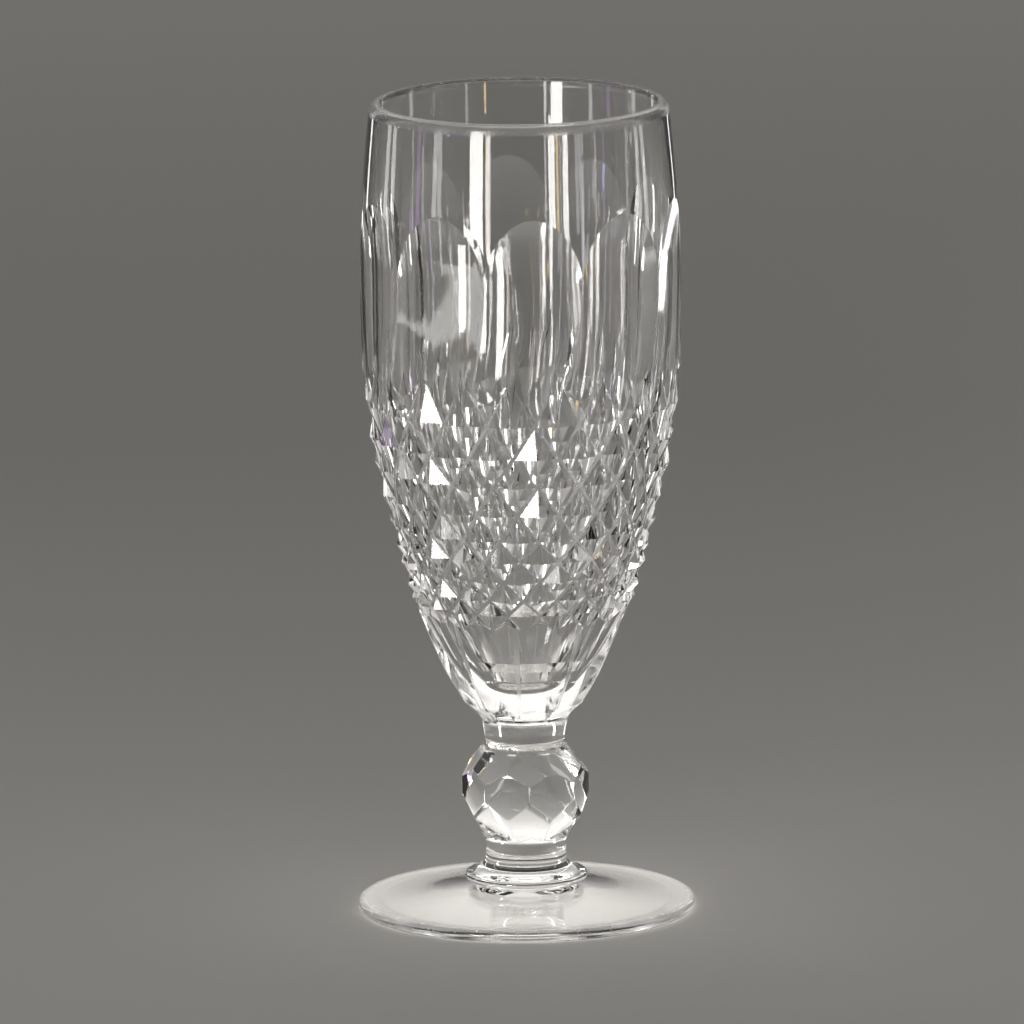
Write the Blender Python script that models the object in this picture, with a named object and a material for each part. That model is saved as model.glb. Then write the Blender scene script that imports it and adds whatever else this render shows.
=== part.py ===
"""Short-stemmed champagne flute in hand-cut clear crystal.

Four gathers of glass, stacked on the +Z axis: a cut bowl, a stem with a
faceted knop, a collar disc and a round foot. The origin is at the centre of
the foot's resting plane. The sizes below are in millimetres, and corner()
turns them into the metres of the model.
"""

import math

import bmesh
import bpy

METRES = 0.001                  # one millimetre in metres

HEIGHT = 152.4

# Heights at which two gathers meet, and the clearance kept there
BOWL_JOINT = 33.75
COLLAR_JOINT = 9.05
FOOT_JOINT = 4.85
JOINT_GAP = 0.3

# Bowl: the turned blank before cutting and the cavity, as (height, radius)
BLANK = [(39.5, 11.4), (46.2, 15.3), (59.6, 20.8), (73.2, 24.5), (86.8, 27.8), (100.0, 29.3),
         (120.0, 29.8), (136.0, 29.1), (152.4, 27.7)]
CAVITY = [(44.5, 1.5), (46.0, 5.2), (50.5, 9.6), (60.0, 15.0), (73.2, 19.6), (86.8, 23.3),
          (100.0, 25.2), (120.0, 26.4), (136.0, 26.6), (151.6, 25.7)]
CAVITY_FLOOR = 44.3
PLAIN_LEVELS = [144.0, 137.0]
RIM_WALL = 2.0
LIP_INNER = 0.4                 # radius of the lip's crisp inner edge
LIP_FALL = 2.0                  # height of its softly rounded outer edge
LIP_STEPS = (2, 5)              # steps round the inner and the outer edge
FINE_COLUMNS = 80               # around the lip and the fluted zone

# Flutes: ten broad upright cuts that start as pointed arches
FLUTES = 10
FLUTE_TOP = 135.0
FLUTE_MEET = 124.0              # where two neighbouring arches touch
FLUTE_LEVELS = [121.5, 115.0, 109.0, 102.5]
FLUTE_DEPTH = 1.6
FLUTE_LEAN = math.radians(-4.5)  # sideways drift of the ridges by the end of the flutes
LEAN_END = 103.6
ARCH_POWER = 1.5                # how steeply the wheel sinks in at the arches

# Diamond band: two crossing families of V-grooves
DIAMONDS = 20
BAND_LEVELS = [96.2, 90.0, 84.5, 78.9, 73.8, 69.65, 65.75, 62.1, 59.2]
BAND_DRIFT = math.radians(4.5)  # sideways drift of the hand-cut grooves from the first row to the last
GROOVE_DEPTH = 1.5

# Broad flat panels under the band, then the cove that draws in to the neck
PANELS = 10
PANEL_LEVELS = [56.0, 50.0, 44.5, 39.5]
PANEL_DEPTH = 0.6               # share of a truly flat panel's depth
PANEL_TURN = math.radians(9.0)  # from the front to the middle of the nearest panel
COVE = [(37.6, 9.2), (36.0, 8.15)]
NECK_RADIUS = 7.65

# Stem: two short necks and a knop with eight facets a row
STEM_COLUMNS = 32
UPPER_NECK = [(32.4, 7.5), (31.2, 7.6), (30.7, 7.85)]
LOWER_NECK = [(14.0, 7.85), (13.2, 7.55), (11.3, 7.45), (9.9, 7.55)]
KNOP_FACETS = 8
KNOP_TOP = 30.4
KNOP_BOTTOM = 14.3
KNOP_RADIUS = 11.9
KNOP_END_RADIUS = 8.0
KNOP_EQUATOR = (22.0, 25.2)     # lower and upper end of the upright edges

# Collar disc, as (height, radius)
COLLAR_COLUMNS = 48
COLLAR = [(8.3, 8.3), (7.7, 9.4), (7.3, 10.5), (6.9, 11.2), (6.3, 11.45), (5.7, 11.1), (5.3, 10.2)]
COLLAR_SEAT_RADIUS = 9.2

# Foot
FOOT_COLUMNS = 64
FOOT_RADIUS = 31.4
FOOT_EDGE = 2.2                 # thickness of the rounded edge
FOOT_DOME_STEPS = 6
FOOT_EDGE_TURNS = (60.0, 25.0, -15.0, -50.0)    # degrees above and below the edge's middle
FOOT_REST_RADII = (27.0, 30.2)  # inner and outer radius of the ring that touches the table
FOOT_HOLLOW_STEPS = 5


def clear_scene():
    for item in list(bpy.data.objects):
        bpy.data.objects.remove(item, do_unlink=True)


def crystal(name, color):
    material = bpy.data.materials.new(name)
    material.use_nodes = True
    shader = material.node_tree.nodes["Principled BSDF"]
    shader.inputs["Base Color"].default_value = (*color, 1.0)
    shader.inputs["Roughness"].default_value = 0.03
    shader.inputs["Metallic"].default_value = 0.0
    shader.inputs["IOR"].default_value = 1.545
    shader.inputs["Transmission Weight"].default_value = 1.0
    return material


def profile_radius(stations, height):
    """Smooth radius at a height, through (height, radius) stations."""
    last = len(stations) - 1
    k = 0
    while k < last - 1 and height > stations[k + 1][0]:
        k += 1

    def slope(i):
        low, high = stations[max(i - 1, 0)], stations[min(i + 1, last)]
        return (high[1] - low[1]) / (high[0] - low[0])

    (x0, r0), (x1, r1) = stations[k], stations[k + 1]
    span = x1 - x0
    t = (height - x0) / span
    blend = t * t * (3 - 2 * t)
    ease_in = t * (1 - t) ** 2 * span * slope(k)
    ease_out = -t * t * (1 - t) * span * slope(k + 1)
    return r0 + (r1 - r0) * blend + ease_in + ease_out


def corner(bm, radius, angle, height):
    """A vertex at an angle from the front, -Y, turning toward +X."""
    x = radius * math.sin(angle)
    y = -radius * math.cos(angle)
    return bm.verts.new((x * METRES, y * METRES, height * METRES))


def ring(bm, columns, radius, height, turn=0.0):
    """One ring of vertices; radius and height may be numbers or functions of the angle."""
    vertices = []
    for j in range(columns):
        angle = turn + math.tau * j / columns
        r = radius(angle) if callable(radius) else radius
        z = height(angle) if callable(height) else height
        vertices.append(corner(bm, r, angle, z))
    return vertices


def band(bm, upper, lower):
    """Faces between two rings, of which one may have twice the columns of the other."""
    if len(upper) == len(lower):
        for j in range(len(upper)):
            i = (j + 1) % len(upper)
            bm.faces.new((upper[j], lower[j], lower[i], upper[i]))
        return
    fine, coarse = (upper, lower) if len(upper) > len(lower) else (lower, upper)
    fans = []
    for j in range(len(coarse)):
        i = (j + 1) % len(coarse)
        a, b, c = fine[2 * j], fine[2 * j + 1], fine[(2 * j + 2) % len(fine)]
        fans += [(a, coarse[j], b), (b, coarse[j], coarse[i]), (b, coarse[i], c)]
    for fan in fans:
        bm.faces.new(fan if fine is upper else tuple(reversed(fan)))


def lattice_band(bm, upper, lower, row):
    """Triangles between two diamond rows, split along the grooves."""
    for j in range(len(upper)):
        i = (j + 1) % len(upper)
        if (j + row) % 2:
            bm.faces.new((upper[j], lower[j], upper[i]))
            bm.faces.new((upper[i], lower[j], lower[i]))
        else:
            bm.faces.new((upper[i], upper[j], lower[i]))
            bm.faces.new((upper[j], lower[j], lower[i]))


def finish(bm, name, material):
    bmesh.ops.recalc_face_normals(bm, faces=bm.faces)
    mesh = bpy.data.meshes.new(name)
    bm.to_mesh(mesh)
    bm.free()
    mesh.shade_smooth()
    mesh.set_sharp_from_angle(angle=math.radians(14.0))
    mesh.materials.append(material)
    piece = bpy.data.objects.new(name, mesh)
    bpy.context.scene.collection.objects.link(piece)
    return piece


def stacked(bm, rings):
    for upper, lower in zip(rings, rings[1:]):
        band(bm, upper, lower)


def around(angle, count, shift=0.0):
    """Share of a half sector between the angle and the nearest of count equal directions."""
    half = math.pi / count
    offset = (angle - shift + half) % (2 * half) - half
    return abs(offset) / half


# Bowl

def blank_radius(height):
    return profile_radius(BLANK, height)


def arch_height(angle):
    share = (1 - around(angle, FLUTES) ** 2) ** (1 / ARCH_POWER)
    return FLUTE_MEET + (FLUTE_TOP - FLUTE_MEET) * share


def flute_radius(height, shift):
    """Outline of the fluted bowl at a height, with its ridges on the blank's radius."""
    return lambda angle: blank_radius(height) - FLUTE_DEPTH * (1 - around(angle, FLUTES, shift) ** 2)


def panel_radius(height):
    sagitta = blank_radius(height) * (1 - math.cos(math.pi / PANELS)) * PANEL_DEPTH
    return lambda angle: blank_radius(height) - sagitta * (1 - around(angle, PANELS, PANEL_TURN) ** 2)


def diamond_row(bm, row):
    """Groove crossings and pyramid points, in turn, round one row of the band."""
    height = BAND_LEVELS[row]
    turn = BAND_DRIFT * (BAND_LEVELS[0] - height) / (BAND_LEVELS[0] - BAND_LEVELS[-1])
    vertices = []
    for j in range(2 * DIAMONDS):
        crossing = (j + row) % 2 == 0
        radius = blank_radius(height) - (GROOVE_DEPTH if crossing else 0.0)
        vertices.append(corner(bm, radius, turn + j * math.pi / DIAMONDS, height))
    return vertices


def lip_rings(bm):
    """The lip, from its inner edge over the top to its outer edge."""
    inner_steps, outer_steps = LIP_STEPS
    outer = RIM_WALL - LIP_INNER
    rings = []
    for step in range(1, inner_steps + 1):
        turn = math.pi / 2 * (1 - step / inner_steps)
        radius = blank_radius(HEIGHT) - outer - LIP_INNER * math.sin(turn)
        rings.append(ring(bm, FINE_COLUMNS, radius, HEIGHT - LIP_INNER * (1 - math.cos(turn))))
    for step in range(1, outer_steps + 1):
        turn = math.pi / 2 * step / outer_steps
        z = HEIGHT - LIP_FALL * (1 - math.cos(turn))
        rings.append(ring(bm, FINE_COLUMNS, blank_radius(z) - outer * (1 - math.sin(turn)), z))
    return rings


def make_bowl(material):
    bm = bmesh.new()
    columns = 2 * DIAMONDS
    inside = [ring(bm, columns, radius, height) for height, radius in CAVITY]
    floor = corner(bm, 0.0, 0.0, CAVITY_FLOOR)
    for j in range(columns):
        bm.faces.new((floor, inside[0][j], inside[0][(j + 1) % columns]))

    plain = [ring(bm, FINE_COLUMNS, blank_radius(z), z) for z in PLAIN_LEVELS]
    arches = ring(bm, FINE_COLUMNS, lambda angle: blank_radius(arch_height(angle)), arch_height)
    fluted = []
    for z in FLUTE_LEVELS:
        fall = min(1.0, (FLUTE_MEET - z) / (FLUTE_MEET - LEAN_END))
        fluted.append(ring(bm, FINE_COLUMNS, flute_radius(z, FLUTE_LEAN * fall * fall), z))

    rows = [diamond_row(bm, k) for k in range(len(BAND_LEVELS))]
    panels = [ring(bm, FINE_COLUMNS, panel_radius(z), z, BAND_DRIFT) for z in PANEL_LEVELS]
    cove = [ring(bm, FINE_COLUMNS, radius, height, BAND_DRIFT) for height, radius in COVE]
    neck = ring(bm, FINE_COLUMNS, NECK_RADIUS, BOWL_JOINT + JOINT_GAP / 2, BAND_DRIFT)

    stacked(bm, inside + lip_rings(bm) + plain + [arches] + fluted + rows[:1])
    for k in range(len(rows) - 1):
        lattice_band(bm, rows[k], rows[k + 1], k)
    stacked(bm, rows[-1:] + panels + cove + [neck])
    bm.faces.new(neck)
    return finish(bm, "bowl", material)


# Stem

def facet_plane(height):
    """Distance from the axis of the sloping facets at a height."""
    low, high = KNOP_EQUATOR
    if height > high:
        t = (height - high) / (KNOP_TOP - high)
    else:
        t = (low - height) / (low - KNOP_BOTTOM)
    return KNOP_RADIUS + (KNOP_END_RADIUS - KNOP_RADIUS) * t


def tip_height(from_height, end_height):
    """Where the point of an equator facet meets the ridge between two sloping ones."""
    half = math.pi / KNOP_FACETS
    reach = KNOP_RADIUS * math.cos(half) ** 2
    share = (KNOP_RADIUS - reach) / (KNOP_RADIUS - KNOP_END_RADIUS)
    return from_height + (end_height - from_height) * share


def make_stem(material):
    bm = bmesh.new()
    half = math.pi / KNOP_FACETS
    per_facet = STEM_COLUMNS // KNOP_FACETS

    def facet_ring(height):
        def radius(angle):
            return facet_plane(height) / math.cos(around(angle, KNOP_FACETS) * half)
        return ring(bm, STEM_COLUMNS, radius, height)

    def tips(radius, height, start):
        return [corner(bm, radius, start + 2 * half * k, height) for k in range(KNOP_FACETS)]

    low, high = KNOP_EQUATOR
    flat_radius = KNOP_RADIUS * math.cos(half)
    top_ring = facet_ring(KNOP_TOP)
    bottom_ring = facet_ring(KNOP_BOTTOM)
    upper_edge = tips(KNOP_RADIUS, high, 0.0)
    lower_edge = tips(KNOP_RADIUS, low, 0.0)
    upper_tips = tips(flat_radius, tip_height(high, KNOP_TOP), half)
    lower_tips = tips(flat_radius, tip_height(low, KNOP_BOTTOM), half)

    for k in range(KNOP_FACETS):
        before = (k - 1) % KNOP_FACETS
        after = (k + 1) % KNOP_FACETS
        reach = range(per_facet * k - per_facet // 2, per_facet * k + per_facet // 2 + 1)
        top_arc = [top_ring[j % STEM_COLUMNS] for j in reach]
        bottom_arc = [bottom_ring[j % STEM_COLUMNS] for j in reach]
        bm.faces.new(top_arc + [upper_tips[k], upper_edge[k], upper_tips[before]])
        bm.faces.new(bottom_arc + [lower_tips[k], lower_edge[k], lower_tips[before]])
        bm.faces.new((upper_tips[k], upper_edge[k], lower_edge[k], lower_tips[k],
                      lower_edge[after], upper_edge[after]))

    top = ring(bm, STEM_COLUMNS, NECK_RADIUS, BOWL_JOINT - JOINT_GAP / 2)
    bottom = ring(bm, STEM_COLUMNS, NECK_RADIUS, COLLAR_JOINT + JOINT_GAP / 2)
    stacked(bm, [top] + [ring(bm, STEM_COLUMNS, r, z) for z, r in UPPER_NECK] + [top_ring])
    stacked(bm, [bottom_ring] + [ring(bm, STEM_COLUMNS, r, z) for z, r in LOWER_NECK] + [bottom])
    bm.faces.new(top)
    bm.faces.new(bottom)
    return finish(bm, "faceted_stem", material)


# Collar disc and foot

def capped_turning(bm, columns, points):
    """A turned solid from (height, radius) points, closed by a flat cap at either end."""
    rings = [ring(bm, columns, radius, height) for height, radius in points]
    stacked(bm, rings)
    bm.faces.new(rings[0])
    bm.faces.new(rings[-1])


def make_collar(material):
    bm = bmesh.new()
    top = (COLLAR_JOINT - JOINT_GAP / 2, NECK_RADIUS)
    bottom = (FOOT_JOINT + JOINT_GAP / 2, COLLAR_SEAT_RADIUS)
    capped_turning(bm, COLLAR_COLUMNS, [top] + COLLAR + [bottom])
    return finish(bm, "collar_disc", material)


def foot_dome(radius):
    """Height of the foot's domed top at a radius."""
    seat = FOOT_JOINT - JOINT_GAP / 2
    share = (radius - COLLAR_SEAT_RADIUS) / (FOOT_RADIUS - FOOT_EDGE / 2 - COLLAR_SEAT_RADIUS)
    return seat + (FOOT_EDGE - seat) * math.sin(share * math.pi / 2)


def foot_points():
    """From the seat of the collar out over the dome, round the edge and back under."""
    half_edge = FOOT_EDGE / 2
    edge_centre = FOOT_RADIUS - half_edge
    points = []
    for step in range(FOOT_DOME_STEPS + 1):
        radius = COLLAR_SEAT_RADIUS + (edge_centre - COLLAR_SEAT_RADIUS) * step / FOOT_DOME_STEPS
        points.append((foot_dome(radius), radius))
    for degrees in FOOT_EDGE_TURNS:
        turn = math.radians(degrees)
        points.append((half_edge + half_edge * math.sin(turn), edge_centre + half_edge * math.cos(turn)))
    inner, outer = FOOT_REST_RADII
    points.append((0.0, outer))
    for step in range(FOOT_HOLLOW_STEPS + 1):
        radius = inner + (COLLAR_SEAT_RADIUS - inner) * step / FOOT_HOLLOW_STEPS
        points.append((foot_dome(radius) - foot_dome(inner), radius))
    return points


def make_foot(material):
    bm = bmesh.new()
    capped_turning(bm, FOOT_COLUMNS, foot_points())
    return finish(bm, "foot", material)


def main():
    clear_scene()
    make_bowl(crystal("bowl crystal", (0.93, 0.94, 0.95)))
    make_stem(crystal("stem crystal", (0.92, 0.93, 0.95)))
    make_collar(crystal("collar crystal", (0.92, 0.93, 0.94)))
    make_foot(crystal("foot crystal", (0.91, 0.92, 0.93)))


main()
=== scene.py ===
import bmesh
import bpy
import math
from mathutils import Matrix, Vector


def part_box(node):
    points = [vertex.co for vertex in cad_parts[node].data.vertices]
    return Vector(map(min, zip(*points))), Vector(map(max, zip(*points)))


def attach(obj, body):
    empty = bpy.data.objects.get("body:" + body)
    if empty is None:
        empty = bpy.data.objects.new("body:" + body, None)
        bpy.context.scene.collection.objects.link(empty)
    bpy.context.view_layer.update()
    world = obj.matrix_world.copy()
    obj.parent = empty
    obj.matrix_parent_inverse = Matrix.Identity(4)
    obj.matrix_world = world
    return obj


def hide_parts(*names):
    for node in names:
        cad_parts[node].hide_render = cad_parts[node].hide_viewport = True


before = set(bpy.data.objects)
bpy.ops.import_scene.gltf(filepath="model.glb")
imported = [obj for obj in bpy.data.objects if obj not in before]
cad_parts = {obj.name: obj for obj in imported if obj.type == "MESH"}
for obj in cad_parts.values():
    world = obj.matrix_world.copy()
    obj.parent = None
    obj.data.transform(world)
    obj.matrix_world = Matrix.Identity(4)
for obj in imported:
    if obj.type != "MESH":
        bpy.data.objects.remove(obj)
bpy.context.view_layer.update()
bowlLow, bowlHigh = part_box("bowl")
stemLow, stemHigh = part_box("faceted_stem")
collarLow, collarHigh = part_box("collar_disc")
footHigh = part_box("foot")[1]
mm = 0.001
rimHeight = bowlHigh.z / mm
bowlJoint = (bowlLow.z + stemHigh.z) / 2 / mm           # the gathers meet where CAD leaves its clearances
collarJoint = (stemLow.z + collarHigh.z) / 2 / mm
footJoint = (collarLow.z + footHigh.z) / 2 / mm
neckRadius = 7.65                                       # shared by bowl, stem and collar
print("frame loaded, rim at", round(rimHeight, 1), "mm")


cameraSettings = {
    "azimuth": -4.6, "elevation": 11.2, "roll": 0.58,   # degrees
    "distance": 2.8, "viewWidth": 0.190,                # metres, the width seen at the glass
    "near": 0.1, "far": 20.0,                           # metres, what the camera draws
    "sensor": 36.0,
    "aim": (-2.0, 75.0),                                # millimetres, sideways and up from the foot's centre
}


def makeCamera(settings):
    azimuth = math.radians(settings["azimuth"])
    elevation = math.radians(settings["elevation"])
    back = Vector((math.sin(azimuth) * math.cos(elevation), -math.cos(azimuth) * math.cos(elevation),
                   math.sin(elevation)))
    side = Vector((math.cos(azimuth), math.sin(azimuth), 0))
    across, up = settings["aim"]
    target = side * across * mm + Vector((0, 0, up * mm))
    data = bpy.data.cameras.new("mainCamera")
    data.sensor_width = settings["sensor"]
    data.lens = data.sensor_width * settings["distance"] / settings["viewWidth"]
    data.clip_start = settings["near"]
    data.clip_end = settings["far"]
    camera = bpy.data.objects.new("mainCamera", data)
    bpy.context.scene.collection.objects.link(camera)
    camera.location = target + back * settings["distance"]
    turn = (-back).to_track_quat("-Z", "Y").to_matrix().to_4x4()
    roll = math.radians(settings["roll"])
    camera.rotation_euler = (turn @ rollMatrix(roll)).to_euler()
    bpy.context.scene.camera = camera


def rollMatrix(angle):
    matrix = Vector((0, 0, 1)).to_track_quat("Z", "Y").to_matrix().to_4x4()
    matrix[0][0] = matrix[1][1] = math.cos(angle)
    matrix[0][1] = math.sin(angle)
    matrix[1][0] = -math.sin(angle)
    return matrix


makeCamera(cameraSettings)


studioSettings = {
    # brightness of the studio's walls and ceiling, from the horizon to straight up, as (rise, colour)
    "dome": [(0.0, (0.105, 0.102, 0.097)), (0.20, (0.24, 0.233, 0.222)), (0.50, (0.60, 0.584, 0.558)),
             (1.0, (0.38, 0.372, 0.358))],
    "exposure": 1.0,
    "floorSize": 40.0, "floorColor": (0.72, 0.705, 0.68), "floorRoughness": 0.65,
    # the floor glows faintly where no lamp reaches: its start and full reach (metres), and its strength
    "farGlow": (0.5, 1.5, 0.045),
    # name, azimuth and distance from the glass (degrees, metres), width and height, lift off the floor,
    # brightness and colour; they stand upright round the glass, face it, and leave no patch on the floor
    "standing": [
        ("lampFrontLow", -37.2, 0.30, (0.052, 0.094), 0.016, 11.0, (1.0, 0.985, 0.965)),
        ("stripFrontSlim", -27.3, 0.30, (0.012, 0.29), 0.014, 5.0, (1.0, 0.985, 0.965)),
        ("stripFrontRight", 40, 0.50, (0.020, 0.38), 0.015, 2.0, (0.97, 0.96, 1.0)),
        ("stripBackLeft", -150, 0.48, (0.030, 0.48), 0.02, 2.0, (1.0, 0.99, 0.98)),
        ("stripBackRight", 148, 0.48, (0.020, 0.48), 0.02, 2.0, (0.98, 0.99, 1.0)),
        ("stripSideLeft", -68, 0.42, (0.025, 0.44), 0.015, 2.5, (1.0, 0.99, 0.98)),
        ("stripSideLeftBack", -117, 0.42, (0.035, 0.44), 0.015, 1.8, (1.0, 0.99, 0.98)),
        ("stripSideRight", 98, 0.42, (0.030, 0.44), 0.015, 1.8, (1.0, 0.99, 0.98)),
        ("lampViolet", -87, 0.32, (0.022, 0.098), 0.015, 1.3, (0.62, 0.34, 0.80)),
        ("lampAmber", 24, 0.34, (0.010, 0.050), 0.030, 6.0, (1.0, 0.70, 0.28)),
        ("lampBlue", -58, 0.36, (0.014, 0.060), 0.160, 6.0, (0.34, 0.48, 1.0)),
    ],
    # name, place, aimed at, size, brightness, and whether the glass mirrors it
    "hanging": [
        ("boxTop", (0, 0, 0.62), (0, 0.001, 0), (0.30, 0.30), 0.5, True),
        ("boxFront", (-0.08, -0.70, 0.85), (-0.08, -0.60, 0), (0.60, 0.50), 0.28, False),
    ],
    "hangingColor": (1, 0.99, 0.975), "washColor": (1, 0.99, 0.97),
    # lamps that wash the floor round the glass, which doesn't show them
    "floorWash": {"azimuths": (-125, -90, -55, 55, 90, 125), "distance": 0.72, "height": 0.48, "size": 0.36,
                  "spread": 75.0, "brightness": 0.36},
}


def addSoftbox(name, place, aim, size, brightness, color):
    data = bpy.data.lights.new(name, "AREA")
    data.shape = "RECTANGLE"
    data.size, data.size_y = size
    data.energy = math.pi * size[0] * size[1] * brightness
    data.color = color
    lamp = bpy.data.objects.new(name, data)
    bpy.context.scene.collection.objects.link(lamp)
    lamp.location = place
    lamp.rotation_euler = (Vector(aim) - Vector(place)).to_track_quat("-Z", "Y").to_euler()
    lamp.visible_camera = False
    return lamp


def makeStudio(settings):
    world = bpy.data.worlds.new("studioWorld")
    bpy.context.scene.world = world
    world.use_nodes = True
    world.cycles_visibility.diffuse = False             # the walls show in the glass, lamps light the floor
    nodes, links = world.node_tree.nodes, world.node_tree.links
    direction = nodes.new("ShaderNodeTexCoord")
    split = nodes.new("ShaderNodeSeparateXYZ")
    ramp = nodes.new("ShaderNodeValToRGB")
    while len(ramp.color_ramp.elements) < len(settings["dome"]):
        ramp.color_ramp.elements.new(1.0)
    for element, (rise, color) in zip(ramp.color_ramp.elements, settings["dome"]):
        element.position = rise
        element.color = (*color, 1)
    links.new(direction.outputs["Generated"], split.inputs["Vector"])
    links.new(split.outputs["Z"], ramp.inputs["Fac"])
    links.new(ramp.outputs["Color"], nodes["Background"].inputs["Color"])
    bpy.context.scene.view_settings.view_transform = "Standard"
    bpy.context.scene.view_settings.exposure = settings["exposure"]

    half = settings["floorSize"] / 2
    mesh = bpy.data.meshes.new("studioFloor")
    mesh.from_pydata([(-half, -half, 0), (half, -half, 0), (half, half, 0), (-half, half, 0)], [],
                     [(0, 1, 2, 3)])
    floor = bpy.data.objects.new("studioFloor", mesh)
    bpy.context.scene.collection.objects.link(floor)
    paint = bpy.data.materials.new("floorPaint")
    paint.use_nodes = True
    shader = paint.node_tree.nodes["Principled BSDF"]
    shader.inputs["Base Color"].default_value = (*settings["floorColor"], 1)
    shader.inputs["Roughness"].default_value = settings["floorRoughness"]
    near, far, glow = settings["farGlow"]
    paintNodes, paintLinks = paint.node_tree.nodes, paint.node_tree.links
    place = paintNodes.new("ShaderNodeTexCoord")
    away = paintNodes.new("ShaderNodeVectorMath")
    away.operation = "LENGTH"
    rise = paintNodes.new("ShaderNodeMapRange")
    rise.inputs["From Min"].default_value = near
    rise.inputs["From Max"].default_value = far
    rise.inputs["To Max"].default_value = glow
    paintLinks.new(place.outputs["Object"], away.inputs[0])
    paintLinks.new(away.outputs["Value"], rise.inputs["Value"])
    shader.inputs["Emission Color"].default_value = (*settings["floorColor"], 1)
    paintLinks.new(rise.outputs["Result"], shader.inputs["Emission Strength"])
    mesh.materials.append(paint)

    for name, azimuth, distance, size, lift, brightness, color in settings["standing"]:
        angle = math.radians(azimuth)
        height = lift + size[1] / 2
        place = (distance * math.sin(angle), -distance * math.cos(angle), height)
        lamp = addSoftbox(name, place, (0, 0, height), size, brightness, color)
        lamp.visible_diffuse = False
    wash = settings["floorWash"]
    for azimuth in wash["azimuths"]:
        angle = math.radians(azimuth)
        x, y = wash["distance"] * math.sin(angle), -wash["distance"] * math.cos(angle)
        lamp = addSoftbox("floorWash" + str(azimuth % 360), (x, y, wash["height"]), (x, y + 0.001, 0),
                          (wash["size"], wash["size"]), wash["brightness"], settings["washColor"])
        lamp.data.spread = math.radians(wash["spread"])
        lamp.visible_glossy = lamp.visible_transmission = False
    for name, place, aim, size, brightness, mirrored in settings["hanging"]:
        lamp = addSoftbox(name, place, aim, size, brightness, settings["hangingColor"])
        lamp.visible_glossy = mirrored


makeStudio(studioSettings)
print("camera and studio ready")


def newGroup(name, inputs, outputs):
    group = bpy.data.node_groups.new(name, "ShaderNodeTree")
    for label, value in inputs:
        socket = group.interface.new_socket(label, in_out="INPUT", socket_type="NodeSocketFloat")
        socket.default_value = value
    for label, kind in outputs:
        group.interface.new_socket(label, in_out="OUTPUT", socket_type=kind)
    return group, group.nodes.new("NodeGroupInput"), group.nodes.new("NodeGroupOutput")


def mathNode(tree, operation, first, second):           # each operand is a socket or a number
    node = tree.nodes.new("ShaderNodeMath")
    node.operation = operation
    for socket, operand in zip(node.inputs, (first, second)):
        if isinstance(operand, (int, float)):
            socket.default_value = operand
        else:
            tree.links.new(operand, socket)
    return node.outputs[0]


def noiseNode(tree, stretch, scale, detail=2.0, distortion=0.0):
    place = tree.nodes.new("ShaderNodeTexCoord")
    mapping = tree.nodes.new("ShaderNodeMapping")
    mapping.inputs["Scale"].default_value = stretch
    noise = tree.nodes.new("ShaderNodeTexNoise")
    noise.inputs["Detail"].default_value = detail
    noise.inputs["Distortion"].default_value = distortion
    tree.links.new(place.outputs["Object"], mapping.inputs["Vector"])
    tree.links.new(mapping.outputs["Vector"], noise.inputs["Vector"])
    if isinstance(scale, (int, float)):
        noise.inputs["Scale"].default_value = scale
    else:
        tree.links.new(scale, noise.inputs["Scale"])
    return noise.outputs["Fac"]


def remap(tree, value, low, high):                      # 0 at low, 1 at high, eased between
    node = tree.nodes.new("ShaderNodeMapRange")
    node.interpolation_type = "SMOOTHSTEP"
    node.inputs["From Min"].default_value = low
    node.inputs["From Max"].default_value = high
    tree.links.new(value, node.inputs["Value"])
    return node.outputs["Result"]


effectSettings = {
    # each noise is its stretch, scale (per metre), detail and distortion
    "rippleStretch": (1.0, 1.0, 0.4),
    "smearPatches": ((1.0, 1.0, 0.7), 55.0, 3.0, 0.6), "patchRange": (0.56, 0.74),
    "smearStreaks": ((1.0, 1.0, 0.25), 900.0, 2.0), "streakRange": (0.42, 0.70),
    "specks": ((1.0, 1.0, 1.0), 1600.0, 0.0), "speckRange": (0.76, 0.80),
    "wheelLines": ((1.0, 1.0, 0.08), 1400.0, 2.0),
    "wheelPatches": ((1.0, 1.0, 1.0), 160.0, 2.0), "wheelRange": (0.40, 0.75),
    "tintStreaks": ((1.0, 1.0, 0.3), 45.0, 2.0, 1.2),
}


def makeRippleGroup(s):                                 # slow waves that hand blowing and polishing leave
    group, start, end = newGroup("polishRipple", [("Wave Length", 0.012), ("Depth", 0.00002)],
                                 [("Height", "NodeSocketFloat")])
    waves = noiseNode(group, s["rippleStretch"], mathNode(group, "DIVIDE", 1.0, start.outputs["Wave Length"]))
    group.links.new(mathNode(group, "MULTIPLY", waves, start.outputs["Depth"]), end.inputs["Height"])
    return group


def makeMarksGroup(s):                                  # faint finger smears, lint and rubbed spots
    group, start, end = newGroup("handlingMarks", [("Clean", 0.0), ("Smear", 0.05), ("Speck", 0.1)],
                                 [("Roughness", "NodeSocketFloat")])
    patches = remap(group, noiseNode(group, *s["smearPatches"]), *s["patchRange"])
    streaks = remap(group, noiseNode(group, *s["smearStreaks"]), *s["streakRange"])
    streakedPatches = mathNode(group, "MULTIPLY", patches, streaks)
    smear = mathNode(group, "MULTIPLY", streakedPatches, start.outputs["Smear"])
    specks = remap(group, noiseNode(group, *s["specks"]), *s["speckRange"])
    speck = mathNode(group, "MULTIPLY", specks, start.outputs["Speck"])
    marks = mathNode(group, "ADD", mathNode(group, "ADD", smear, speck), start.outputs["Clean"])
    group.links.new(marks, end.inputs["Roughness"])
    return group


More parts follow.
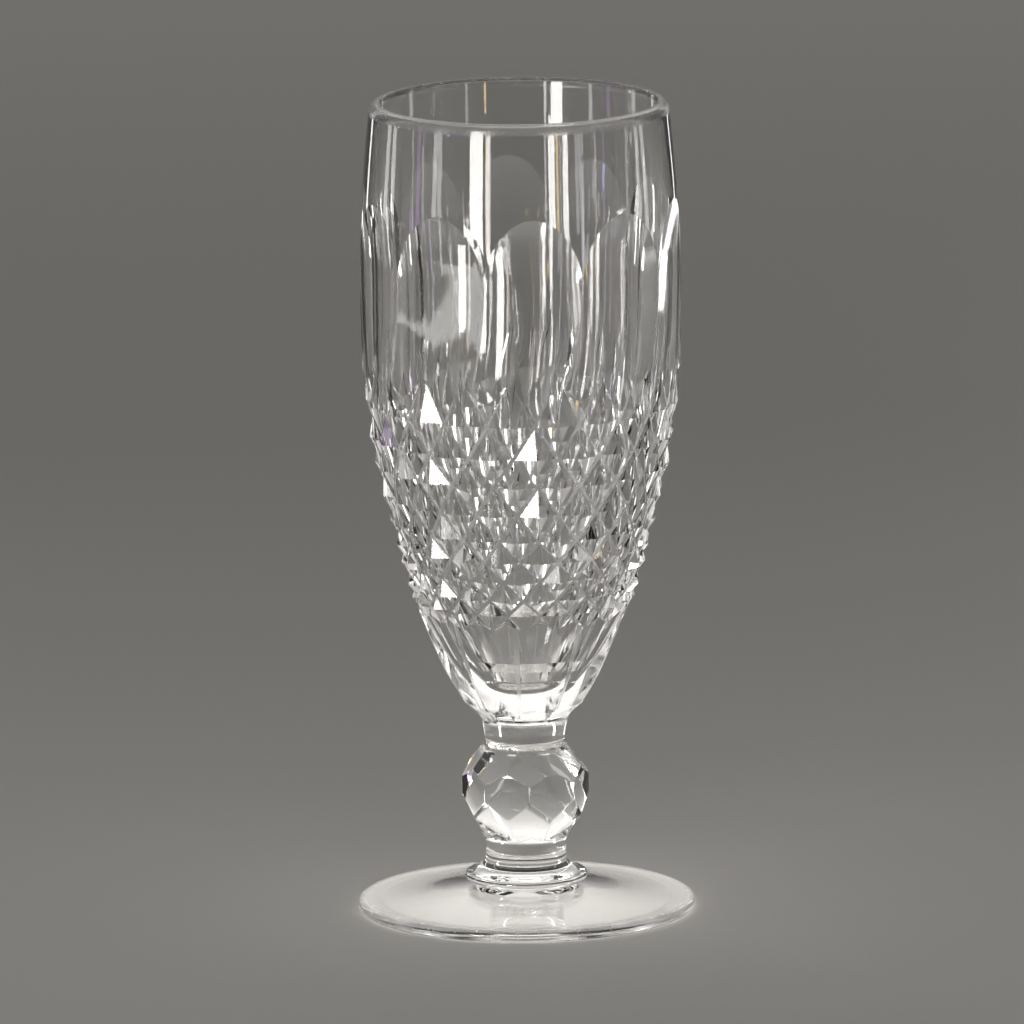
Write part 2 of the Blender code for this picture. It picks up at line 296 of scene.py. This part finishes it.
def makeTracesGroup(s):                                 # fine lines that a wheel leaves along its cut
    group, start, end = newGroup("wheelTraces", [("Depth", 0.000001), ("Dulling", 0.03)],
                                 [("Height", "NodeSocketFloat"), ("Roughness", "NodeSocketFloat")])
    lines = noiseNode(group, *s["wheelLines"])
    patches = remap(group, noiseNode(group, *s["wheelPatches"]), *s["wheelRange"])
    group.links.new(mathNode(group, "MULTIPLY", lines, start.outputs["Depth"]), end.inputs["Height"])
    dull = mathNode(group, "MULTIPLY", mathNode(group, "MULTIPLY", lines, patches), start.outputs["Dulling"])
    group.links.new(dull, end.inputs["Roughness"])
    return group


def makeTintGroup(s):                                   # slight streaks of tint within the melt
    group, start, end = newGroup("meltTint", [("Amount", 0.5)], [("Color", "NodeSocketColor")])
    streaks = noiseNode(group, *s["tintStreaks"])
    mix = group.nodes.new("ShaderNodeMix")
    mix.data_type = "RGBA"
    mix.inputs["A"].default_value = (*glassSettings["clearTint"], 1)
    mix.inputs["B"].default_value = (*glassSettings["deepTint"], 1)
    group.links.new(mathNode(group, "MULTIPLY", streaks, start.outputs["Amount"]), mix.inputs["Factor"])
    group.links.new(mix.outputs["Result"], end.inputs["Color"])
    return group


glassSettings = {
    "ior": 1.545,
    "shade": (0.93, 0.925, 0.915),                      # how the floor is shaded through the glass
    "clearTint": (0.992, 0.990, 0.986), "deepTint": (0.955, 0.958, 0.956),
    # for each finish: tint, ripple wave length and depth (metres), clean roughness, smear, speck,
    # depth and dulling of the wheel's traces
    "finishes": {
        "blownBowl": (0.5, 0.014, 0.000008, 0.000, 0.055, 0.15, 0.0, 0.0),
        "groundLip": (0.3, 0.010, 0.000004, 0.240, 0.050, 0.08, 0.0000010, 0.05),
        "cutBowl": (0.6, 0.008, 0.000003, 0.045, 0.040, 0.08, 0.0000012, 0.03),
        "cutEdge": (0.3, 0.004, 0.000003, 0.280, 0.050, 0.08, 0.0000020, 0.10),
        "grooveFloor": (0.3, 0.004, 0.000006, 0.260, 0.060, 0.10, 0.0000060, 0.20),
        "pressedStem": (0.8, 0.010, 0.000006, 0.000, 0.045, 0.10, 0.0, 0.0),
        "cutStem": (0.8, 0.008, 0.000003, 0.002, 0.040, 0.10, 0.0000010, 0.02),
        "collar": (0.8, 0.009, 0.000008, 0.000, 0.050, 0.10, 0.0, 0.0),
        "foot": (0.9, 0.016, 0.000015, 0.000, 0.070, 0.20, 0.0, 0.0),
        "footEdge": (0.9, 0.012, 0.000006, 0.170, 0.060, 0.15, 0.0000010, 0.05),
        "groundRing": (0.9, 0.006, 0.000004, 0.380, 0.050, 0.10, 0.0000080, 0.25),
    },
}


def placeGroup(nodes, group, values):
    node = nodes.new("ShaderNodeGroup")
    node.node_tree = group
    for label, value in values.items():
        node.inputs[label].default_value = value
    return node


def makeCrystal(name, finish):
    tint, waveLength, waveDepth, clean, smear, speck, traceDepth, dulling = finish
    material = bpy.data.materials.new(name)
    material.use_nodes = True
    tree = material.node_tree
    nodes, links = tree.nodes, tree.links
    shader = nodes["Principled BSDF"]
    shader.inputs["IOR"].default_value = glassSettings["ior"]
    shader.inputs["Metallic"].default_value = 0.0
    shader.inputs["Transmission Weight"].default_value = 1.0
    melt = placeGroup(nodes, meltTint, {"Amount": tint})
    links.new(melt.outputs["Color"], shader.inputs["Base Color"])
    ripple = placeGroup(nodes, polishRipple, {"Wave Length": waveLength, "Depth": waveDepth})
    marks = placeGroup(nodes, handlingMarks, {"Clean": clean, "Smear": smear, "Speck": speck})
    height, roughness = ripple.outputs["Height"], marks.outputs["Roughness"]
    if dulling > 0:
        traces = placeGroup(nodes, wheelTraces, {"Depth": traceDepth, "Dulling": dulling})
        height = mathNode(tree, "ADD", height, traces.outputs["Height"])
        roughness = mathNode(tree, "ADD", roughness, traces.outputs["Roughness"])
    bump = nodes.new("ShaderNodeBump")
    bump.inputs["Distance"].default_value = 1.0         # heights are in metres
    links.new(height, bump.inputs["Height"])
    links.new(bump.outputs["Normal"], shader.inputs["Normal"])
    links.new(roughness, shader.inputs["Roughness"])
    clear = nodes.new("ShaderNodeBsdfTransparent")      # lets the lamps reach the floor through the glass
    clear.inputs["Color"].default_value = (*glassSettings["shade"], 1)
    path = nodes.new("ShaderNodeLightPath")
    mix = nodes.new("ShaderNodeMixShader")
    links.new(path.outputs["Is Shadow Ray"], mix.inputs["Fac"])
    links.new(shader.outputs["BSDF"], mix.inputs[1])
    links.new(clear.outputs["BSDF"], mix.inputs[2])
    links.new(mix.outputs["Shader"], nodes["Material Output"].inputs["Surface"])
    return material


def makeFusedJoint():                                   # no surface where two gathers have melted together
    material = bpy.data.materials.new("fusedJoint")
    material.use_nodes = True
    nodes, links = material.node_tree.nodes, material.node_tree.links
    nodes.remove(nodes["Principled BSDF"])
    clear = nodes.new("ShaderNodeBsdfTransparent")
    links.new(clear.outputs[0], nodes["Material Output"].inputs["Surface"])
    return material


polishRipple, handlingMarks = makeRippleGroup(effectSettings), makeMarksGroup(effectSettings)
wheelTraces, meltTint = makeTracesGroup(effectSettings), makeTintGroup(effectSettings)
fusedJoint = makeFusedJoint()
crystals = {name: makeCrystal(name, finish) for name, finish in glassSettings["finishes"].items()}
print("crystal finishes ready")


def smoothRadius(stations, height):                     # cubic through (height, radius) stations
    last = len(stations) - 1
    k = 0
    while k < last - 1 and height > stations[k + 1][0]:
        k += 1

    def slope(i):
        low, high = stations[max(i - 1, 0)], stations[min(i + 1, last)]
        return (high[1] - low[1]) / (high[0] - low[0])

    (x0, r0), (x1, r1) = stations[k], stations[k + 1]
    span = x1 - x0
    t = (height - x0) / span
    return (r0 + (r1 - r0) * t * t * (3 - 2 * t) + t * (1 - t) ** 2 * span * slope(k)
            - t * t * (1 - t) * span * slope(k + 1))


# places in a piece's list of finishes, then the two that the foot has instead
jointFinish, blownFinish, cutFinish, grooveFinish, lipFinish, ridgeFinish = range(6)
groundFinish, edgeFinish = 2, 3


def point(radius, angle, height):                       # angle 0 is the front, turning toward +X
    return (radius * math.sin(angle) * mm, -radius * math.cos(angle) * mm, height * mm)


def addRing(bm, columns, radius, height, turn=0.0):
    ring = []
    for j in range(columns):
        angle = turn + math.tau * j / columns
        z = height(angle) if callable(height) else height
        r = radius(angle, z) if callable(radius) else radius
        ring.append(bm.verts.new(point(r, angle, z)))
    return ring


def bridge(bm, upper, lower, finish=1):                 # one finish, or a list with one for each column
    n = len(upper)
    for j in range(n):
        addFace(bm, (upper[j], lower[j], lower[(j + 1) % n], upper[(j + 1) % n]),
                finish[j] if isinstance(finish, list) else finish)


def steps(start, end, count):                           # count even steps, without the start
    return [start + (end - start) * (k + 1) / count for k in range(count)]


def placePiece(bm, name, finishes, node, sharpDegrees):
    bmesh.ops.recalc_face_normals(bm, faces=bm.faces)
    mesh = bpy.data.meshes.new(name)
    for material in [fusedJoint] + [crystals[finish] for finish in finishes]:
        mesh.materials.append(material)
    bm.to_mesh(mesh)
    bm.free()
    mesh.shade_smooth()
    mesh.set_sharp_from_angle(angle=math.radians(sharpDegrees))
    piece = bpy.data.objects.new(name, mesh)
    bpy.context.scene.collection.objects.link(piece)
    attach(piece, "root")
    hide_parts(node)
    print("placed", name, len(mesh.polygons), "faces")


def closeWithJoint(bm, ring):
    cap = bm.faces.new(ring)
    cap.material_index = jointFinish


def addFace(bm, corners, finish):
    face = bm.faces.new(corners)
    face.material_index = finish
    return face


bowlSettings = {
    # the turned blank before cutting, and the cavity, as (height, radius)
    "blank": [(39.5, 11.4), (46.2, 15.3), (59.6, 20.8), (73.2, 24.5), (86.8, 27.8), (100.0, 29.3),
              (120.0, 29.8), (136.0, 29.1), (152.4, 27.7)],
    "cavity": [(44.5, 1.5), (46.0, 5.2), (50.5, 9.6), (60.0, 15.0), (73.2, 19.6), (86.8, 23.3),
               (100.0, 25.2), (120.0, 26.4), (136.0, 26.6), (151.6, 25.7)],
    "cavityFloor": 44.3, "floorRadius": 5.4, "floorRise": 1.9, "floorRows": 10, "cavityRows": 60,
    "rimWall": 2.0, "lipInner": 0.4, "lipFall": 2.0, "lipSteps": 10,   # crisp inner edge, soft outer edge
    "plainEnd": 138.0, "plainRows": 8, "archRows": 3,
    "columns": 240,
    "flutes": 10, "fluteTop": 135.0, "fluteMeet": 124.0, "archPower": 1.5, "fluteDepth": 1.6, "fluteRows": 30,
    "ridgeSoft": 0.05, "ridgeCrowd": 0.3,               # rounding of the ridges, columns drawn in beside them
    "fluteLean": -4.5, "leanEnd": 103.6,                # the flutes drift sideways, down to this height
    "diamonds": 20,
    "bandLevels": [96.2, 90.0, 84.5, 78.9, 73.8, 69.65, 65.75, 62.1, 59.2],
    "bandDrift": 4.5,                                   # the grooves drift the other way
    "grooveDepth": 1.5,
    "grooveFloor": (0.66, 0.40),                        # width of the flat floors, rising and falling grooves
    "upperRunOut": (100.3, 103.6),                      # above a crossing, and at the tip of a groove
    "lowerRunOut": (57.7, 56.4),
    "panels": 10, "panelDepth": 0.85, "panelTurn": 9.0, "panelEnd": 39.5, "panelRows": 14,
    "cove": [(37.6, 9.2), (36.0, 8.15)], "coveRows": 12,
    "sharp": 5.0,                                       # degrees; a fold above this is a crisp edge
}


def nearness(angle, count, shift=0.0):                  # 0 on one of count directions, 1 halfway between
    half = math.pi / count
    return abs((angle - shift + half) % (2 * half) - half) / half


def blank(z):
    return smoothRadius(bowlSettings["blank"], z)


def leanAt(z, s):                                       # sideways drift of the flutes at a height
    fall = min(1.0, max(0.0, (s["fluteMeet"] - z) / (s["fluteMeet"] - s["leanEnd"])))
    return math.radians(s["fluteLean"]) * fall * fall


def archHeight(angle, s):
    share = (1 - nearness(angle, s["flutes"]) ** 2) ** (1 / s["archPower"])
    return s["fluteMeet"] + (s["fluteTop"] - s["fluteMeet"]) * share


def fluted(angle, z, s):                                # a wheel sinks in at the arch and then runs down
    above = min(1.0, max(0.0, (z - s["fluteMeet"]) / (s["fluteTop"] - s["fluteMeet"])))
    sunk = 1 - above ** s["archPower"]
    side = nearness(angle, s["flutes"], leanAt(z, s)) ** 2
    rounding = s["ridgeSoft"] * min(1.0, max(0.0, (s["fluteMeet"] - z) / s["fluteDepth"]))
    return blank(z) - max(rounding, s["fluteDepth"] * max(0.0, sunk - side))


def paneled(angle, z, s):
    depth = blank(z) * (1 - math.cos(math.pi / s["panels"])) * s["panelDepth"]
    across = nearness(angle, s["panels"], math.radians(s["panelTurn"]))
    return blank(z) - max(2 * s["ridgeSoft"], depth * (1 - across ** 2))


def runOutHeight(angle, heights, rowHeight, turn, s):   # jagged line where the grooves leave the surface
    overCrossing, tip = heights
    tipAt = 1 - 2 * s["diamonds"] / s["columns"]
    t = nearness(angle, s["diamonds"], turn)
    if t <= tipAt + 0.001:
        return overCrossing + (tip - overCrossing) * t / tipAt
    return tip + (rowHeight - tip) * (t - tipAt) / (1 - tipAt)


def addCavity(bm, s):                                   # from the middle of the floor up to the lip
    inner = []
    for k in range(1, s["floorRows"] + 1):
        turn = math.pi / 2 * k / s["floorRows"]
        inner.append((s["cavityFloor"] + s["floorRise"] * (1 - math.cos(turn)),
                      s["floorRadius"] * math.sin(turn)))
    for z in steps(inner[-1][0], s["cavity"][-1][0], s["cavityRows"]):
        inner.append((z, max(smoothRadius(s["cavity"], z), inner[-1][1] * 0.999)))
    rings = [addRing(bm, s["columns"], r, z) for z, r in inner]
    middle = bm.verts.new(point(0, 0, s["cavityFloor"]))
    for j in range(s["columns"]):
        addFace(bm, (middle, rings[0][j], rings[0][(j + 1) % s["columns"]]), blownFinish)
    return rings


def addRim(bm, s):                                      # lip, then the plain glass down to the arches
    outer = s["rimWall"] - s["lipInner"]
    rings = []
    for turn in steps(-math.pi / 2, 0, s["lipSteps"]):
        rings.append(addRing(bm, s["columns"], blank(rimHeight) - outer + s["lipInner"] * math.sin(turn),
                             rimHeight - s["lipInner"] * (1 - math.cos(turn))))
    for turn in steps(0, math.pi / 2, s["lipSteps"]):
        z = rimHeight - s["lipFall"] * (1 - math.cos(turn))
        rings.append(addRing(bm, s["columns"], blank(z) - outer * (1 - math.sin(turn)), z))
    for z in steps(rimHeight - s["lipFall"], s["plainEnd"], s["plainRows"]):
        rings.append(addRing(bm, s["columns"], blank(z), z))
    for share in steps(0, 1, s["archRows"])[:-1]:
        rings.append(addRing(bm, s["columns"], lambda angle, z: blank(z),
                             lambda angle: s["plainEnd"] + (archHeight(angle, s) - s["plainEnd"]) * share))
    return rings


def crowdedColumn(j, s):                                # columns stand closer on either side of a ridge
    perFlute = s["columns"] // s["flutes"]
    besideRidge = (j + perFlute // 2 + 1) % perFlute - 1
    pull = besideRidge * (s["ridgeCrowd"] - 1) if abs(besideRidge) == 1 else 0
    return math.tau * (j + pull) / s["columns"]


def ridgeFinishes(ridge, apart, s):                     # the columns on both sides of every ridge are duller
    return [ridgeFinish if (j - ridge + 1) % apart < 2 else cutFinish for j in range(s["columns"])]


def addFlutes(bm, above, s):                            # rows from the arches down to the tips of the grooves
    lean = math.radians(s["fluteLean"])
    perFlute = s["columns"] // s["flutes"]
    cuts = ridgeFinishes(perFlute // 2, perFlute, s)
    for k in range(s["fluteRows"] + 1):
        ring = []
        for j in range(s["columns"]):
            column = crowdedColumn(j, s) if 0 < k < s["fluteRows"] else math.tau * j / s["columns"]
            start = archHeight(column, s)
            end = runOutHeight(column + lean, s["upperRunOut"], s["bandLevels"][0], 0, s)
            z = start + (end - start) * k / s["fluteRows"]
            angle = column + (leanAt(z, s) if k < s["fluteRows"] else lean)
            ring.append(bm.verts.new(point(fluted(angle, z, s), angle, z)))
        bridge(bm, above, ring, cuts if k else blownFinish)
        above = ring
    shift = round(s["fluteLean"] / 360 * s["columns"])
    return [above[(j - shift) % s["columns"]] for j in range(s["columns"])]   # counted from the front again


def addBandRow(bm, k, s):                               # pyramid points, and four corners round each crossing
    levels = s["bandLevels"]
    last = len(levels) - 1
    z = levels[k]
    pitch = math.pi / s["diamonds"]
    turn = math.radians(s["bandDrift"]) * (levels[0] - z) / (levels[0] - levels[last])
    above, below = max(k - 1, 0), min(k + 1, last)
    rise = (levels[above] - levels[below]) / (below - above)
    run = blank(z) * pitch
    slant = math.hypot(rise, run)
    rising, falling = s["grooveFloor"]
    across, along = (rising + falling) * slant / 4 / rise, (rising + falling) * slant / 4 / run
    skewAcross, skewAlong = (rising - falling) * slant / 4 / rise, (rising - falling) * slant / 4 / run
    row = []
    for j in range(2 * s["diamonds"]):
        angle = turn + pitch * j

        def spot(sideways, upward):
            height = z + upward
            return bm.verts.new(point(blank(height) - s["grooveDepth"], angle + sideways / blank(z), height))
        if (j + k) % 2:
            row.append(bm.verts.new(point(blank(z), angle, z)))
        else:
            row.append({"left": spot(-across, skewAlong), "right": spot(across, -skewAlong),
                        "top": spot(-skewAcross, along), "bottom": spot(skewAcross, -along)})
    return row


def addBand(bm, s):                                     # flat groove floors, and four facets up to each point
    last = len(s["bandLevels"]) - 1
    corners = 2 * s["diamonds"]
    lattice = [addBandRow(bm, k, s) for k in range(last + 1)]
    for k in range(last + 1):
        for j in range(corners):
            left, here, right = lattice[k][j - 1], lattice[k][j], lattice[k][(j + 1) % corners]
            if (j + k) % 2 == 0:
                addFace(bm, (here["top"], here["left"], here["bottom"], here["right"]), grooveFinish)
                if k < last:
                    downLeft, downRight = lattice[k + 1][j - 1], lattice[k + 1][(j + 1) % corners]
                    addFace(bm, (here["left"], downLeft["top"], downLeft["right"], here["bottom"]),
                            grooveFinish)
                    addFace(bm, (here["bottom"], downRight["left"], downRight["top"], here["right"]),
                            grooveFinish)
                continue
            if k > 0:
                upper = lattice[k - 1][j]["bottom"]
                addFace(bm, (here, upper, left["right"]), cutFinish)
                addFace(bm, (here, right["left"], upper), cutFinish)
            if k < last:
                lower = lattice[k + 1][j]["top"]
                addFace(bm, (here, left["right"], lower), cutFinish)
                addFace(bm, (here, lower, right["left"]), cutFinish)
    return lattice


def joinRunOuts(bm, row, edge, k, side, s):             # from the band's first or last row to the jagged line
    corners = 2 * s["diamonds"]
    perPoint = s["columns"] // corners
    for j in range(1 - k % 2, corners, 2):
        left, right = row[j - 1], row[(j + 1) % corners]
        reach = [edge[(j * perPoint + n) % s["columns"]] for n in range(-perPoint, perPoint + 1)]
        for a, b in zip(reach[:perPoint - 1], reach[1:perPoint]):
            addFace(bm, (a, left[side], b), cutFinish)
        for a, b in zip(reach[perPoint + 1:-1], reach[perPoint + 2:]):
            addFace(bm, (a, right[side], b), cutFinish)
        tipLeft, tipRight = reach[perPoint - 1], reach[perPoint + 1]
        addFace(bm, (tipLeft, left[side], left["right"]), grooveFinish)
        addFace(bm, (tipLeft, left["right"], row[j]), cutFinish)
        addFace(bm, (tipRight, row[j], right["left"]), cutFinish)
        addFace(bm, (tipRight, right["left"], right[side]), grooveFinish)
        bmesh.ops.weld_verts(bm, targetmap={reach[perPoint]: row[j]})


def addPanels(bm, s):                                   # ten flat panels, then the cove down to the neck
    drift = math.radians(s["bandDrift"])
    rowHeight = s["bandLevels"][-1]

    def edgeHeight(angle):
        return runOutHeight(angle, s["lowerRunOut"], rowHeight, drift, s)

    def panelRing(share):
        return addRing(bm, s["columns"], lambda angle, z: paneled(angle, z, s),
                       lambda angle: edgeHeight(angle) + (s["panelEnd"] - edgeHeight(angle)) * share, drift)

    rings = [panelRing(share) for share in [0] + steps(0, 1, s["panelRows"])]
    stations = [(bowlJoint, neckRadius), *reversed(s["cove"]), (s["panelEnd"], blank(s["panelEnd"]))]
    end = s["panelEnd"]
    for share in steps(0, 1, s["coveRows"]):
        fade = (1 - share) ** 2                         # the panels die out down the cove

        def coved(angle, z):
            return smoothRadius(stations, z) + (paneled(angle, end, s) - blank(end)) * fade
        rings.append(addRing(bm, s["columns"], coved, end + (bowlJoint - end) * share, drift))
    return rings


def makeBowl(s):
    bm = bmesh.new()
    cavity, rim = addCavity(bm, s), addRim(bm, s)
    blown = cavity + rim
    for k, (upper, lower) in enumerate(zip(blown, blown[1:])):
        onLip = 0 <= k - len(cavity) < 2 * s["lipSteps"] - 1
        bridge(bm, upper, lower, lipFinish if onLip else blownFinish)
    upperEdge = addFlutes(bm, blown[-1], s)
    lattice = addBand(bm, s)
    lower = addPanels(bm, s)
    perPanel = s["columns"] // s["panels"]
    firstRidge = round((s["panelTurn"] - s["bandDrift"]) / 360 * s["columns"]) + perPanel // 2
    cuts = ridgeFinishes(firstRidge, perPanel, s)
    for k, (above, below) in enumerate(zip(lower, lower[1:])):
        bridge(bm, above, below, cuts if k < s["panelRows"] else cutFinish)
    joinRunOuts(bm, lattice[0], upperEdge, 0, "top", s)
    joinRunOuts(bm, lattice[-1], lower[0], len(lattice) - 1, "bottom", s)
    closeWithJoint(bm, lower[-1])
    finishes = ["blownBowl", "cutBowl", "grooveFloor", "groundLip", "cutEdge"]
    placePiece(bm, "cutBowl", finishes, "bowl", s["sharp"])


makeBowl(bowlSettings)


stemSettings = {
    "columns": 96,
    "upperNeck": [(32.4, 7.5), (31.2, 7.6), (30.7, 7.85)],
    "lowerNeck": [(14.0, 7.85), (13.2, 7.55), (11.3, 7.45), (9.9, 7.55)],
    "facets": 8, "knopTop": 30.4, "knopBottom": 14.3, "knopRadius": 11.9, "knopEndRadius": 8.0,
    "equator": (22.0, 25.2),
    "edgeRound": 0.25, "edgeSteps": 3,                  # rounding of the knop's edges
    "neckRows": 18, "sharp": 25.0,
}


def addKnop(bm, s):                                     # three rows of facets between two round necks
    half = math.pi / s["facets"]
    perFacet = s["columns"] // s["facets"]
    low, high = s["equator"]
    flatRadius = s["knopRadius"] * math.cos(half)
    share = s["knopRadius"] * math.sin(half) ** 2 / (s["knopRadius"] - s["knopEndRadius"])

    def facetedRadius(angle, z):
        return s["knopEndRadius"] / math.cos(nearness(angle, s["facets"]) * half)

    def tips(radius, height, start):
        return [bm.verts.new(point(radius, start + 2 * half * k, height)) for k in range(s["facets"])]

    top, bottom = [addRing(bm, s["columns"], facetedRadius, z) for z in (s["knopTop"], s["knopBottom"])]
    upperEdge, lowerEdge = tips(s["knopRadius"], high, 0), tips(s["knopRadius"], low, 0)
    upperTips = tips(flatRadius, high + (s["knopTop"] - high) * share, half)
    lowerTips = tips(flatRadius, low + (s["knopBottom"] - low) * share, half)
    for k in range(s["facets"]):
        before, after = (k - 1) % s["facets"], (k + 1) % s["facets"]
        reach = range(perFacet * k - perFacet // 2, perFacet * k + perFacet // 2 + 1)
        upperArc, lowerArc = [top[j % s["columns"]] for j in reach], [bottom[j % s["columns"]] for j in reach]
        addFace(bm, upperArc + [upperTips[k], upperEdge[k], upperTips[before]], cutFinish)
        addFace(bm, lowerArc + [lowerTips[k], lowerEdge[k], lowerTips[before]], cutFinish)
        addFace(bm, (upperTips[k], upperEdge[k], lowerEdge[k], lowerTips[k], lowerEdge[after],
                     upperEdge[after]), cutFinish)
    ridges = [edge for edge in bm.edges if len(edge.link_faces) == 2]
    bmesh.ops.recalc_face_normals(bm, faces=bm.faces)
    bmesh.ops.bevel(bm, geom=ridges, offset=s["edgeRound"] * mm, offset_type="OFFSET", affect="EDGES",
                    segments=s["edgeSteps"], profile=0.5, clamp_overlap=True, material=cutFinish)


def closeNeck(bm, low, high, stations, joint, rows):    # from the open edge of the knop to a fused joint
    edges = [edge for edge in bm.edges if edge.is_boundary and low < edge.verts[0].co.z / mm < high]
    ring = sorted({vert for edge in edges for vert in edge.verts}, key=lambda v: math.atan2(v.co.x, -v.co.y))
    turns = [math.atan2(vert.co.x, -vert.co.y) for vert in ring]
    start = ring[0].co.z / mm
    for z in steps(start, joint, rows):
        below = [bm.verts.new(point(smoothRadius(stations, z), turn, z)) for turn in turns]
        bridge(bm, ring, below)
        ring = below
    closeWithJoint(bm, ring)


def makeStem(s):
    bm = bmesh.new()
    addKnop(bm, s)
    upperNeck = [(s["knopTop"], s["knopEndRadius"]), *reversed(s["upperNeck"]), (bowlJoint, neckRadius)]
    lowerNeck = [(collarJoint, neckRadius), *reversed(s["lowerNeck"]), (s["knopBottom"], s["knopEndRadius"])]
    closeNeck(bm, s["equator"][1], bowlJoint, upperNeck, bowlJoint, s["neckRows"])
    closeNeck(bm, collarJoint, s["equator"][0], lowerNeck, collarJoint, s["neckRows"])
    placePiece(bm, "facetedStem", ["pressedStem", "cutStem"], "faceted_stem", s["sharp"])


makeStem(stemSettings)


collarSettings = {
    "columns": 128, "rows": 5, "seatRadius": 9.2, "sharp": 40.0,
    "outline": [(8.3, 8.3), (7.7, 9.4), (7.3, 10.5), (6.9, 11.2), (6.3, 11.45), (5.7, 11.1), (5.3, 10.2)],
}


def roundedLine(points, count):                         # Catmull-Rom through (height, radius) points
    line = []
    for k in range(len(points) - 1):
        p0, p1 = points[max(k - 1, 0)], points[k]
        p2, p3 = points[k + 1], points[min(k + 2, len(points) - 1)]
        for n in range(count):
            t = n / count
            line.append(tuple(0.5 * (2 * b + (c - a) * t + (2 * a - 5 * b + 4 * c - d) * t * t
                                     + (3 * b - a - 3 * c + d) * t ** 3)
                              for a, b, c, d in zip(p0, p1, p2, p3)))
    return line + [points[-1]]


def makeCollar(s):
    bm = bmesh.new()
    outline = [(collarJoint, neckRadius), *s["outline"], (footJoint, s["seatRadius"])]
    rings = [addRing(bm, s["columns"], r, z) for z, r in roundedLine(outline, s["rows"])]
    for upper, lower in zip(rings, rings[1:]):
        bridge(bm, upper, lower)
    closeWithJoint(bm, rings[0])
    closeWithJoint(bm, rings[-1])
    placePiece(bm, "collarDisc", ["collar"], "collar_disc", s["sharp"])


makeCollar(collarSettings)


footSettings = {
    "columns": 192, "radius": 31.4, "edge": 2.2, "domeRows": 30, "edgeRows": 14,
    "restRadii": (27.0, 30.2), "restBow": 0.03,         # the ground ring is hollowed by a hair
    "hollowRows": 24, "sharp": 30.0,
}


def domeHeight(radius, s):                              # the foot's top, which the hollow runs parallel to
    seat = collarSettings["seatRadius"]
    share = (radius - seat) / (s["radius"] - s["edge"] / 2 - seat)
    return footJoint + (s["edge"] - footJoint) * math.sin(share * math.pi / 2)


def makeFoot(s):
    bm = bmesh.new()
    halfEdge = s["edge"] / 2
    edgeCentre = s["radius"] - halfEdge
    seat = collarSettings["seatRadius"]
    dome = [(domeHeight(radius, s), radius)
            for radius in [seat] + steps(seat, edgeCentre, s["domeRows"])]
    for k in range(1, s["edgeRows"]):
        turn = math.pi / 2 - math.pi * k / s["edgeRows"]
        dome.append((halfEdge + halfEdge * math.sin(turn), edgeCentre + halfEdge * math.cos(turn)))
    inner, outer = s["restRadii"]
    hollow = [(domeHeight(radius, s) - domeHeight(inner, s), radius)
              for radius in [inner] + steps(inner, seat, s["hollowRows"])]
    domeRings = [addRing(bm, s["columns"], r, z) for z, r in dome + [(0, outer)]]
    groundRing = addRing(bm, s["columns"], (inner + outer) / 2, s["restBow"])
    hollowRings = [addRing(bm, s["columns"], r, z) for z, r in hollow]
    for k, (upper, lower) in enumerate(zip(domeRings, domeRings[1:])):
        bridge(bm, upper, lower, edgeFinish if k >= s["domeRows"] - 1 else blownFinish)
    bridge(bm, domeRings[-1], groundRing, groundFinish)
    bridge(bm, groundRing, hollowRings[0], groundFinish)
    for upper, lower in zip(hollowRings, hollowRings[1:]):
        bridge(bm, upper, lower)
    addFace(bm, hollowRings[-1], blownFinish)
    closeWithJoint(bm, domeRings[0])
    placePiece(bm, "footDisc", ["foot", "groundRing", "footEdge"], "foot", s["sharp"])


makeFoot(footSettings)
